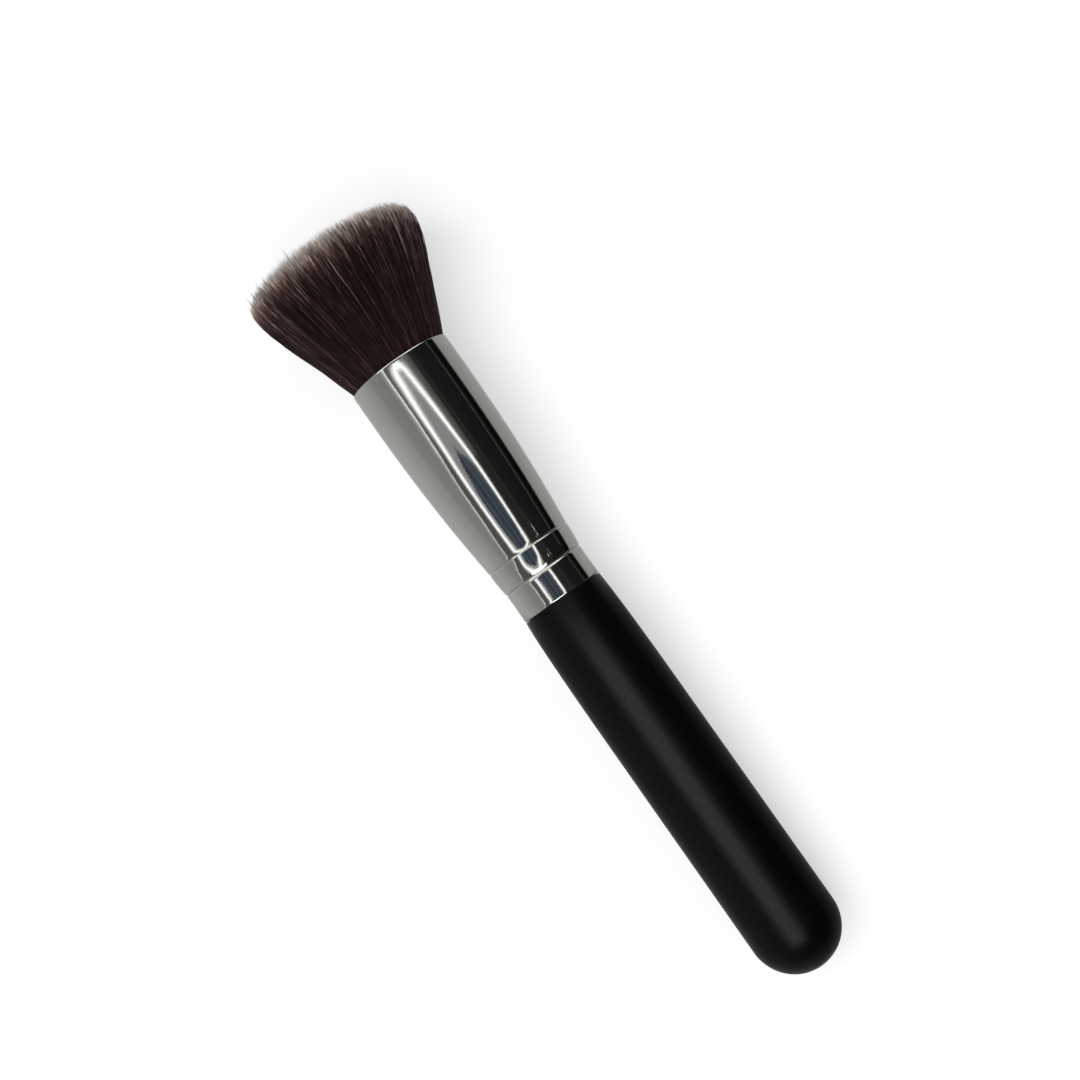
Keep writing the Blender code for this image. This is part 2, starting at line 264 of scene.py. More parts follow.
# Level sheets: from and to along, from and to across, and height
SHEETS = {
    "ceiling": (-1.5, 1.5, -1.2, 0.62, 0.420),
    "ceiling_left": (-1.0, 1.0, 0.10, 0.60, 0.400),
    "grey_right": (0.045, 0.60, -0.270, -0.085, 0.410),
    "grey_right_low": (-0.30, 0.045, -0.260, -0.085, 0.410),
    "front_light": (0.22, 0.60, -0.34, 0.42, 0.370),
    "speck_front": (-0.0545, -0.0490, -0.347, -0.340, 0.405),
    "speck_rear": (-0.073, -0.063, -0.356, -0.349, 0.405),
    "speck_side": (-0.066, -0.058, -0.272, -0.265, 0.405),
}
CEILING_GREYS = (0.002, 0.060)
CEILING_STREAKS = (1.5, 11, 1)
CEILING_LEFT_STOPS = [(0.0, 0.24), (0.3, 0.26), (0.6, 0.50), (1.0, 0.55)]
GREY_RIGHT_STOPS = [
    (0.0, 0.03), (0.15, 0.05), (0.24, 0.13), (0.35, 0.18), (0.50, 0.22), (0.65, 0.31), (0.80, 0.40),
    (1.0, 0.46),
]
GREY_RIGHT_LOW_STOPS = [(0.0, 0.03), (0.1, 0.05), (0.6, 0.055), (1.0, 0.13)]
FRONT_STRENGTH = 3.0
SPECK_STRENGTH = 9.0

# Slanted strip on the ceiling, from head to tail, with the grey between it and the ring behind the bend
STRIP_HEIGHT = 0.380
STRIP = (
    (0.40, 0.225), (0.125, 0.246), (0.098, 0.251), (0.065, 0.292), (0.027, 0.364), (-0.017, 0.408),
    (-0.055, 0.494), (-0.30, 0.85),
)
STRIP_BEND = 3
STRIP_EDGES = (-0.024, 0.118)
STRIP_HEAD_STOPS = [
    (0.0, 0.25), (0.10, 0.6), (0.15, 2.2), (0.24, 2.0), (0.42, 0.95), (0.65, 0.62), (1.0, 0.55),
]
STRIP_TAIL_STOPS = [
    (0.0, 0.22), (0.10, 0.5), (0.17, 1.9), (0.26, 1.7), (0.42, 0.78), (0.6, 0.58), (1.0, 0.55),
]
GAP_HEIGHT = 0.385
GAP_START = 0.18
GAP_INSET = 0.020
GAP_GREY = 0.20

# Paper at the ferrule's sides: its tail end and place across, near and far, and its light from near to far
SIDE_DROP = 0.0090
SIDE_HEAD = 0.5
SIDE_FADE_SHARE = 0.02
SIDES = {
    "paper_left": ((0.002, 0.0125), (-0.25, 0.9), [
        (0.0, 1.02), (0.008, 1.0), (0.02, 0.967), (0.045, 0.885), (0.10, 0.815), (0.38, 0.77), (1.0, 0.764),
    ]),
    # Dimmer than the left: painted shade for the floor in the brush's shadow, as the metal sees it
    "paper_right": ((0.002, -0.0125), (-0.12, -0.36), [
        (0.0, 0.86), (0.04, 0.80), (0.07, 0.72), (0.13, 0.66), (0.21, 0.58), (0.265, 0.46), (0.295, 0.03),
        (1.0, 0.005),
    ]),
}

# Upright sheets in the frame's own axes: start, end, bottom, top, and light from bottom to top
WALLS = {
    "wall_left": ((-2, 0.9), (2, 0.9), 0, 0.68, [
        (0.0, 0.764), (0.207, 0.727), (0.387, 0.655), (0.57, 0.567), (0.765, 0.548), (1.0, 0.55),
    ]),
    "wall_right": ((-2, -0.35), (2, -0.35), 0, 0.45, [
        (0.0, 0.004), (0.06, 0.004), (0.14, 0.02), (1.0, 0.03),
    ]),
    "streak": ((-0.035, -0.34), (2, -0.34), 0.085, 0.100, [(0.0, 0.13), (1.0, 0.13)]),
    "front_side": ((0.22, -0.345), (0.9, -0.345), 0.06, 0.370, [(0.0, 2.0), (1.0, 3.0)]),
    "wall_head": ((0.9, -0.9), (0.9, 0.9), 0, 0.6, [(0.0, 1.2), (1.0, 1.2)]),
    "wall_tail": ((-0.9, -0.9), (-0.9, 0.9), 0, 0.6, [(0.0, 0.25), (1.0, 0.25)]),
}

# Paper round the handle in the frame's own axes: from and to along X, from and to along Y, and its light
# beside the handle and at its own head end
PAPER_HEIGHT = 0.0008
PAPERS = {
    "paper_handle_left": (-0.5, 0.03, 0.005, 0.6, 0.48, 1.0),
    # Dimmer than the left: painted shade for the floor in the brush's shadow, as the lacquer sees it
    "paper_handle_right": (-0.5, 0.03, -0.6, -0.005, 0.34, 0.86),
    "paper_handle_end": (-0.5, -0.092, -0.005, 0.005, 0.40, 0.40),
}
PAPER_STOP_SHARES = (0.2, 0.942, 0.955)


def bezier(shares, t):
    a, b, c, d = shares
    u = 1 - t
    return a * u**3 + 3 * b * u**2 * t + 3 * c * u * t**2 + d * t**3


def arc(centre, radius, start, end, count):
    angles = np.radians(np.linspace(start, end, count + 1))
    return [(centre[0] + radius * math.cos(a), centre[1] + radius * math.sin(a)) for a in angles]


def placed(axes, origin):
    """The matrix of a frame from its three axes and its origin."""
    matrix = Matrix.Identity(4)
    for column, axis in enumerate(axes):
        matrix.col[column][:3] = axis
    matrix.col[3][:3] = origin
    return matrix


def brush_frame():
    """Where the brush's own frame stands: the dome touches the table and the tuft is lifted."""
    tip_depth = FERRULE_LENGTH + HANDLE_LENGTH
    reach = HEAD_HEIGHT - HEAD_CORNER + tip_depth - HANDLE_END_RADIUS
    pressed = HEAD_RADIUS - PRESS_DEPTH
    lift = math.acos(HANDLE_END_RADIUS / math.hypot(reach, pressed)) - math.atan2(reach, pressed)
    low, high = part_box("handle")
    along = Vector((math.cos(lift), 0, math.sin(lift)))
    down = Vector((math.sin(lift), 0, -math.cos(lift)))
    dome = Vector((low.x + HANDLE_END_RADIUS, (low.y + high.y) / 2, low.z + HANDLE_END_RADIUS))
    mouth = dome + along * (tip_depth - HANDLE_END_RADIUS)
    return placed((down, Vector((0, 1, 0)), along), mouth), lift


BRUSH, LIFT = brush_frame()


def add_object(name, data):
    obj = bpy.data.objects.new(name, data)
    bpy.context.scene.collection.objects.link(obj)
    return obj


def add_mesh(name, points, faces, smooth=True):
    mesh = bpy.data.meshes.new(name)
    mesh.from_pydata([tuple(p) for p in points], [], faces)
    if smooth:
        mesh.shade_smooth()
    return add_object(name, mesh)


def lathe(name, outline, closed):
    """A turned body from (radius, height) points in the brush's frame."""
    points, rings, faces = [], [], []
    turns = np.linspace(0, math.tau, AROUND, endpoint=False)
    for radius, height in outline:
        if radius == 0:
            rings.append([len(points)] * AROUND)
            points.append((0, 0, height))
        else:
            rings.append(list(range(len(points), len(points) + AROUND)))
            points += [(radius * math.cos(a), radius * math.sin(a), height) for a in turns]
    pairs = list(zip(rings, rings[1:]))
    if closed:
        pairs.append((rings[-1], rings[0]))
    for first, second in pairs:
        for i in range(AROUND):
            j = (i + 1) % AROUND
            face = []
            for corner in (first[i], second[i], second[j], first[j]):
                if corner not in face:
                    face.append(corner)
            faces.append(face)
    obj = add_mesh(name, points, faces)
    obj.data.transform(BRUSH)
    obj.data.set_sharp_from_angle(angle=SHARP_ANGLE)
    return obj


# Ferrule
def taper(t):
    early, late = TAPER_SLOPE_SHARES
    length = FERRULE_LENGTH - MOUTH_STRAIGHT - NECK_STRAIGHT
    depth = MOUTH_STRAIGHT + length * bezier((0.0, early, late, 1.0), t)
    return depth, bezier((MOUTH_RADIUS, MOUTH_RADIUS, NECK_RADIUS, NECK_RADIUS), t)


TAPER_TABLE = np.array([taper(t) for t in np.linspace(0, 1, TAPER_TABLE_STEPS + 1)])


def tube_radius(depth):
    return float(np.interp(depth, TAPER_TABLE[:, 0], TAPER_TABLE[:, 1]))


def line_depths():
    rear = FERRULE_LENGTH - REAR_LINE_INSET
    return rear - LINE_SPACING, rear


def rolled(depth):
    """How far the eased mouth, the two rolled lines and the bulge between them move the surface."""
    front, rear = line_depths()
    moved = 0.0
    if depth < MOUTH_EASE:
        moved -= MOUTH_EASE_DEPTH * (1 - depth / MOUTH_EASE) ** 2
    if front < depth < rear:
        t = 2 * (depth - front) / (rear - front) - 1
        moved += BEAD_HEIGHT * (1 - t * t)
    for line in (front, rear):
        away = abs(depth - line)
        if depth < line and away < LINE_SHOULDER:
            moved -= LINE_SHOULDER_DEPTH * (1 - away / LINE_SHOULDER) ** 2
        if away < LINE_HALF_WIDTH:
            moved -= LINE_DEPTH * (1 - (away / LINE_HALF_WIDTH) ** 2)
    return moved


def ring_depths():
    """Where the rings of the ferrule's outside are, closest at the rolled lines."""
    front, rear = line_depths()
    last = FERRULE_LENGTH - END_ROUND
    depths = list(np.linspace(MOUTH_STRAIGHT * FIRST_RING_SHARE, MOUTH_STRAIGHT, MOUTH_STEPS))
    depths += list(np.linspace(MOUTH_STRAIGHT, last, TAPER_STEPS))
    depths += list(np.linspace(front - LINE_SHOULDER, rear + LINE_HALF_WIDTH, BEAD_STEPS))
    for line in (front, rear):
        depths = [d for d in depths if abs(d - line) > LINE_HALF_WIDTH]
        depths += list(np.linspace(line - LINE_HALF_WIDTH, line + LINE_HALF_WIDTH, LINE_STEPS + 1))
    kept = []
    for depth in sorted(depths):
        if depth < last - CLOSEST_RINGS and (not kept or depth - kept[-1] > CLOSEST_RINGS):
            kept.append(depth)
    return kept


def ferrule():
    edge = FERRULE_WALL / 2
    mouth = arc((MOUTH_RADIUS - MOUTH_EASE_DEPTH - edge, -edge), edge, 180, 8, 2 * ROUND_STEPS)
    outside = [(tube_radius(d) + rolled(d), -d) for d in ring_depths()]
    end = arc((NECK_RADIUS - END_ROUND, END_ROUND - FERRULE_LENGTH), END_ROUND, 0, -90, ROUND_STEPS)
    bore = np.linspace(FERRULE_LENGTH, FERRULE_WALL, BORE_STEPS)
    inside = [(tube_radius(d) - FERRULE_WALL, -d) for d in bore]
    return lathe("ferrule_tube", mouth + outside + end + inside, True)


# Handle
def handle():
    tenon_end = -(FERRULE_LENGTH - TENON_LENGTH)
    shoulder = -(FERRULE_LENGTH + SHOULDER_GAP)
    outline = [
        (0, tenon_end),
        (TENON_RADIUS - TENON_CHAMFER, tenon_end),
        (TENON_RADIUS, tenon_end - TENON_CHAMFER),
        (TENON_RADIUS, shoulder),
    ]
    swell_top = shoulder - SHOULDER_ROUND
    outline += arc((NECK_RADIUS - SHOULDER_ROUND, swell_top), SHOULDER_ROUND, 90, 0, ROUND_STEPS)
    for t in np.linspace(0, 1, SWELL_STEPS + 1)[1:]:
        rise = bezier(SWELL_RISE_SHARES, t) * (HANDLE_BODY_RADIUS - NECK_RADIUS)
        outline.append((NECK_RADIUS + rise, swell_top - SWELL_LENGTH * bezier(SWELL_HEIGHT_SHARES, t)))
    tip = FERRULE_LENGTH + HANDLE_LENGTH
    body_end = HANDLE_END_RADIUS - tip
    body_start = outline[-1][1]
    for t in np.linspace(0, 1, BODY_STEPS)[1:-1]:
        radius = HANDLE_BODY_RADIUS + (HANDLE_END_RADIUS - HANDLE_BODY_RADIUS) * t
        outline.append((radius, body_start + (body_end - body_start) * t))
    outline += arc((0, body_end), HANDLE_END_RADIUS, 0, -90, DOME_STEPS)[:-1]
    outline.append((0, -tip))
    return lathe("handle_turned", outline, False)


# Tuft
def waves(x, y, rng, count, shortest, longest):
    """A smooth random value at each root, the same for near neighbours."""
    total = np.zeros_like(x)
    for _ in range(count):
        length = shortest + (longest - shortest) * rng.random()
        angle = math.tau * rng.random()
        phase = math.tau * rng.random()
        total += np.sin(math.tau * (x * math.cos(angle) + y * math.sin(angle)) / length + phase)
    return total / math.sqrt(count)


def sunflower(count, jitter, rng):
    """Points spread evenly over the unit disc."""
    index = np.arange(count)
    share = np.sqrt(np.clip((index + 0.5 + jitter * (rng.random(count) - 0.5)) / count, 0, 1))
    angle = index * math.pi * (3 - math.sqrt(5)) + jitter * 0.5 * (rng.random(count) - 0.5) / (20 * share + 1)
    return share * np.cos(angle), share * np.sin(angle), share


def nearest(x, y, centre_x, centre_y):
    """The nearest centre to each point, found for a batch of points at a time."""
    batch = 1000
    found = np.zeros(len(x), dtype=int)
    for start in range(0, len(x), batch):
        part = slice(start, start + batch)
        away = (x[part, None] - centre_x) ** 2 + (y[part, None] - centre_y) ** 2
        found[part] = away.argmin(axis=1)
    return found


def lengths(rng, root_x, root_y, share, lock):
    """The whole tuft's height at each root and each filament's own, shorter at the rim on the upper side,
    so that the top shows there. Also which filaments are stout, short and stray."""
    tip_radius = (HEAD_RADIUS - FILAMENT_RADIUS) * share
    past = np.clip(tip_radius - (HEAD_RADIUS - HEAD_CORNER), 0, HEAD_CORNER)
    full = HEAD_HEIGHT + TUFT_OVER + TOP_SKEW * root_y
    length = full - HEAD_CORNER + np.sqrt(HEAD_CORNER**2 - past**2)
    rim = np.clip((share - RIM_START_SHARE) / (1 - RIM_START_SHARE), 0, 1)
    upper = np.clip(-root_x / share, 0, 1) ** UPPER_CURVE
    length -= rim * upper * UPPER_RIM_SHORTER * rng.random(FILAMENTS) ** UPPER_CURVE + RIM_SHORTER * rim**2
    length -= (LOCK_SHORTER * rng.random(LOCKS) ** 2)[lock] * (LOCK_INSIDE_SHARE + rim)
    length -= OWN_SHORTER * rng.random(FILAMENTS) ** 2
    stout = rng.random(FILAMENTS) < STOUT_SHARE
    length -= np.where(stout, STOUT_SHORTER, 0)
    short = rng.random(FILAMENTS) < SHORT_SHARE
    shorter = np.where(short, SHORT_SHORTER * rng.random(FILAMENTS) ** 2, 0)
    length -= shorter * (SHORT_INSIDE_SHARE + (1 - SHORT_INSIDE_SHARE) * rim)

    # Strays stand out of the top on its left
    inner, outer = STRAY_RING_SHARES
    near_rim = (share > inner) & (share < outer)
    stray = np.zeros(FILAMENTS, dtype=bool)
    may_stray = np.flatnonzero(near_rim & (root_x < STRAY_LOWEST_SHARE) & (root_y > STRAY_RIGHTMOST_SHARE))
    stray[rng.choice(may_stray, STRAYS, replace=False)] = True
    length = np.where(stray, full + STRAY_OVER + STRAY_OVER_MORE * rng.random(FILAMENTS), length)
    return full, length, stout, short, stray


def paths(rng, roots, centres, lock, share, z, loose, stray):
    """Where each filament runs, at its stations, with gentle bends: some shared by neighbours, some of each
    filament's own, and more of them sideways for the loose ones."""
    root_x, root_y = roots
    in_metres = root_x * ROOT_RADIUS, root_y * ROOT_RADIUS
    clumps = [waves(*in_metres, rng, CLUMP_WAVES, *CLUMP_WAVE_LENGTHS) for _ in roots]
    around = np.arctan2(root_y, root_x)
    outward, sideways = rng.normal(size=(2, FILAMENTS)) * np.array([[OUTWARD_LEAN], [SIDEWAYS_LEAN]])
    sideways *= np.where(loose, LOOSE_SIDEWAYS, 1.0)
    own = (
        outward * np.cos(around) - sideways * np.sin(around),
        outward * np.sin(around) + sideways * np.cos(around),
    )
    lock_lean = rng.normal(size=(2, LOCKS))[:, lock]
    wave_size = WAVE_SIZE * rng.normal(size=(2, FILAMENTS))
    wave_turns = WAVE_TURNS + WAVE_TURNS_MORE * rng.random(FILAMENTS)
    wave_start = math.tau * rng.random((2, FILAMENTS))

    high = np.clip(z / HEAD_HEIGHT, 0, 1)
    t = np.linspace(0, 1, SPREAD_TABLE_STEPS + 1)
    spread = np.interp(high, bezier(SPREAD_HEIGHT_SHARES, t), bezier(SPREAD_RADIUS_SHARES, t))
    spill = MOUTH_SPILL * np.clip(z / MOUTH_SPILL_RISE, 0, 1) * (1 - high)
    reach = ROOT_RADIUS + (HEAD_RADIUS - FILAMENT_RADIUS - ROOT_RADIUS) * spread + spill
    pull = LOCK_PULL * (high**LOCK_PULL_CURVE) * np.where(stray, 0, 1)[:, None]
    bend = high**BEND_CURVE
    wavy = np.maximum(high, WAVE_LOW_SHARE * np.clip(z / WAVE_LOW_RISE, 0, 1))
    limit = 1 - RIM_STIFFNESS * share[:, None] ** 6
    places = []
    for axis, (root, centre) in enumerate(zip(roots, centres)):
        place = (root[:, None] * (1 - pull) + centre[lock][:, None] * pull) * reach
        lean = CLUMP_LEAN * clumps[axis] + own[axis] + LOCK_LEAN * lock_lean[axis]
        turn = math.tau * wave_turns[:, None] * high + wave_start[axis][:, None]
        place += limit * (bend * lean[:, None] + wavy * wave_size[axis][:, None] * np.sin(turn))
        places.append(place)
    x, y = places
    y -= TUFT_LEAN * (1 - (1 - high) ** 2)
    return x, y


def filaments():
    """All the filaments: points by filament, station and side, with what the material reads."""
    rng = np.random.default_rng(FILAMENT_SEED)
    root_x, root_y, share = sunflower(FILAMENTS, ROOT_JITTER, rng)
    centres = [
        centre * LOCK_DISC_SHARE + rng.normal(size=LOCKS) * LOCK_SCATTER_SHARE
        for centre in sunflower(LOCKS, LOCK_JITTER, rng)[:2]
    ]
    lock = nearest(root_x, root_y, *centres)
    full, length, stout, short, stray = lengths(rng, root_x, root_y, share, lock)
    stations = np.array(FILAMENT_STATIONS)
    z = -FILAMENT_START + stations[None, :] * (length + FILAMENT_START)[:, None]
    x, y = paths(rng, (root_x, root_y), centres, lock, share, z, stout | short, stray)

    thick = THIN_SHARE + THIN_MORE_SHARE * rng.random(FILAMENTS)
    thick *= np.where(share > RIM_THICK_START_SHARE, RIM_THICK_SHARE, 1.0)
    thick = np.where(stout, STOUT_THICK_SHARE, np.where(stray, STRAY_THICK_SHARE, thick))
    size = FILAMENT_RADIUS * thick[:, None] * np.array(FILAMENT_TAPER)[None, :]
    turn = math.tau * rng.random(FILAMENTS)
    sides = math.tau * np.arange(FILAMENT_SIDES) / FILAMENT_SIDES
    corner = turn[:, None, None] + sides[None, None, :]
    px = x[:, :, None] + size[:, :, None] * np.cos(corner)
    py = y[:, :, None] + size[:, :, None] * np.sin(corner)
    pz = np.broadcast_to(z[:, :, None], px.shape)
    points = np.stack([px, py, pz], axis=-1)

    # Nothing goes below the table
    above = BRUSH.translation.z + points[..., 2] * math.sin(LIFT) - points[..., 0] * math.cos(LIFT)
    points[..., 0] -= np.clip(TABLE_GAP - above, 0, None) / math.cos(LIFT)

    # Distance from the top of the whole tuft, and a tone for each filament
    deeper = np.where(rng.random(FILAMENTS) < DEEPER_SHARE, DEEPER, 0.0)
    to_top = full[:, None] - z + (deeper + DEPTH_SCATTER * rng.normal(size=FILAMENTS))[:, None]
    to_top = np.where(stray[:, None], np.maximum(to_top, STRAY_DEPTH), to_top)
    tone = TONE_LEAST + TONE_MORE * rng.random(FILAMENTS) + np.where(stout, TONE_STOUT, 0)
    band = np.exp(-(((root_y + TONE_BAND_PLACE_SHARE) / TONE_BAND_WIDTH_SHARE) ** 2))
    # Painted light on the tuft's flared sides, more on its right, which the lamp leaves in shade
    tone += PAINTED_LIGHT_SIDES * root_y**2 + PAINTED_LIGHT_RIGHT * np.clip(-root_y, 0, 1) ** 4 - TONE_BAND * band
    return points, to_top, tone


def filament_map(count, stations, sides):
    """Places in the bake's map: a thin strip for each filament, in columns, by the order of the faces."""
    order = np.arange(count)
    rows = math.ceil(count / MAP_COLUMNS)
    share = np.array(FILAMENT_STATIONS)
    quads, tris = [], []
    for s in range(stations - 2):
        for k in range(sides):
            for side, station in ((k, s), (k + 1, s), (k + 1, s + 1), (k, s + 1)):
                quads.append((side / sides, share[station]))
    for k in range(sides):
        for side, station in ((k, stations - 2), (k + 1, stations - 2), (k + 0.5, stations - 1)):
            tris.append((side / sides, share[station]))
    for k in reversed(range(sides)):
        tris.append((k / sides, MAP_CAP_SHARE * k))
    grid = np.array([MAP_COLUMNS, rows])
    cell = np.array(MAP_STRIP_SHARES) / grid
    corner = np.stack([order % MAP_COLUMNS, order // MAP_COLUMNS], axis=-1) / grid
    corner = (corner + np.array(MAP_MARGIN_SHARES) / grid)[:, None]
    return np.concatenate([(np.array(faces)[None] * cell + corner).reshape(-1, 2) for faces in (quads, tris)])


def filament_mesh(name, points, to_top, tone):
    """One set of filaments as a mesh, with its map for the bake and what the material reads."""
    count, stations, sides, _ = points.shape
    per = (stations - 1) * sides + 1
    rings = points[:, :-1].reshape(count, -1, 3)
    tips = points[:, -1].mean(axis=1)[:, None]
    verts = np.concatenate([rings, tips], axis=1).reshape(-1, 3)
    quads, tris = [], []
    for s in range(stations - 2):
        for k in range(sides):
            n = (k + 1) % sides
            quads.append((s * sides + k, s * sides + n, (s + 1) * sides + n, (s + 1) * sides + k))
    last = (stations - 2) * sides
    for k in range(sides):
        tris.append((last + k, last + (k + 1) % sides, per - 1))
    tris.append(tuple(reversed(range(sides))))
    base = (np.arange(count) * per)[:, None, None]
    quads = (np.array(quads)[None] + base).reshape(-1, 4)
    tris = (np.array(tris)[None] + base).reshape(-1, 3)
    obj = add_mesh(name, verts.tolist(), quads.tolist() + tris.tolist())

    def attribute(kind, values):
        layer = obj.data.attributes.new(kind, "FLOAT", "POINT")
        layer.data.foreach_set("value", values.reshape(-1).astype(np.float32))

    millimetres = to_top * 1000
    at_rings = np.repeat(millimetres[:, :-1], sides, axis=1)
    attribute("to_top", np.concatenate([at_rings, millimetres[:, -1:]], axis=1))
    attribute("tone", np.repeat(tone, per))
    layer = obj.data.uv_layers.new(name="OFBake")
    layer.data.foreach_set("uv", filament_map(count, stations, sides).reshape(-1).astype(np.float32))
    obj.data.transform(BRUSH)
    return obj


# Materials
def new_material(name):
    material = bpy.data.materials.new(name)
    material.use_nodes = True
    return material, material.node_tree, material.node_tree.nodes["Principled BSDF"]


def add_node(tree, kind, links=(), **settings):
    """A node with its settings, and its sockets linked from the outputs in links."""
    node = tree.nodes.new(kind)
    for name, value in settings.items():
        setattr(node, name, value)
    for socket, output in links:
        tree.links.new(output, node.inputs[socket])
    return node


def maths(tree, operation, *values):
    """The result of a sum or product of values: numbers, or the outputs of other nodes."""
    node = add_node(tree, "ShaderNodeMath", operation=operation)
    for socket, value in zip(node.inputs, values):
        if isinstance(value, float):
            socket.default_value = value
        else:
            tree.links.new(value, socket)
    return node.outputs[0]


def ramp(tree, output, *stops):
    node = add_node(tree, "ShaderNodeValToRGB", [(0, output)])
    elements = node.color_ramp.elements
    while len(elements) < len(stops):
        elements.new(0.5)
    for element, (place, colour) in zip(elements, stops):
        element.position = place
        element.color = (*colour, 1)
    return node.outputs["Color"]


def ramped(tree, shader, name, output, *stops):
    """Sets one of the shader's inputs by a ramp."""
    tree.links.new(ramp(tree, output, *stops), shader.inputs[name])


def grey(value):
    return (value, value, value)


def bumped(tree, shader, height, strength, distance):
    bump = add_node(tree, "ShaderNodeBump", [("Height", height)])
    bump.inputs["Strength"].default_value = strength
    bump.inputs["Distance"].default_value = distance
    tree.links.new(bump.outputs["Normal"], shader.inputs["Normal"])


def noise(tree, vector, scale, detail, roughness):
    node = add_node(tree, "ShaderNodeTexNoise", [("Vector", vector)])
    node.inputs["Scale"].default_value = scale
    node.inputs["Detail"].default_value = detail
    node.inputs["Roughness"].default_value = roughness
    return node.outputs["Fac"]


def ranged(tree, value, start, end, low, high):
    """The value, brought from start and end to low and high."""
    node = add_node(tree, "ShaderNodeMapRange", [("Value", value)])
    for name, number in (("From Min", start), ("From Max", end), ("To Min", low), ("To Max", high)):
        node.inputs[name].default_value = number
    return node.outputs["Result"]


def coordinates(tree, scale=(1, 1, 1)):
    place = add_node(tree, "ShaderNodeTexCoord")
    mapping = add_node(tree, "ShaderNodeMapping", [("Vector", place.outputs["Object"])])
    mapping.inputs["Scale"].default_value = scale
    return mapping.outputs["Vector"]


def plating_material():
    """Mirror plating with faint smudges, and a ripple of broad swells and a fine wobble."""
    material, tree, shader = new_material("mirror_plating")
    shader.inputs["Metallic"].default_value = 1.0
    shader.inputs["Specular Tint"].default_value = (*grey(0.72), 1)
    place = coordinates(tree)
    smudge = noise(tree, place, scale=260, detail=4, roughness=0.6)
    ramped(tree, shader, "Base Color", smudge, (0.3, (0.326, 0.330, 0.307)), (0.7, (0.346, 0.349, 0.327)))
    ramped(tree, shader, "Roughness", smudge, (0.35, grey(0.045)), (0.75, grey(0.070)))
    wobble = noise(tree, place, scale=2400, detail=2, roughness=0.5)
    swell = noise(tree, place, scale=150, detail=1, roughness=0.4)
    swell_over_wobble = 3.5
    ripple = maths(tree, "MULTIPLY_ADD", swell, swell_over_wobble, wobble)
    bumped(tree, shader, ripple, strength=0.10, distance=0.000036)
    return material


def lacquer_material():
    material, tree, shader = new_material("satin_lacquer")
    place = coordinates(tree)
    cloud = noise(tree, place, scale=120, detail=3, roughness=0.5)
    nearly_black = (0.3, (0.0006, 0.0006, 0.0008)), (0.7, (0.0010, 0.0010, 0.0011))
    ramped(tree, shader, "Base Color", cloud, *nearly_black)
    ramped(tree, shader, "Roughness", cloud, (0.3, grey(0.34)), (0.7, grey(0.37)))
    shader.inputs["Specular IOR Level"].default_value = 0.088
    peel = noise(tree, place, scale=1500, detail=2, roughness=0.5)
    bumped(tree, shader, peel, strength=0.12, distance=0.00004)
    return material


def mixed(tree, kind, factor, first, second):
    """Two colours mixed, by the colour sockets of a mix node."""
    node = add_node(tree, "ShaderNodeMix", [("Factor", factor)], data_type="RGBA", blend_type=kind)
    tree.links.new(first, node.inputs[6])
    tree.links.new(second, node.inputs[7])
    return node.outputs[2]


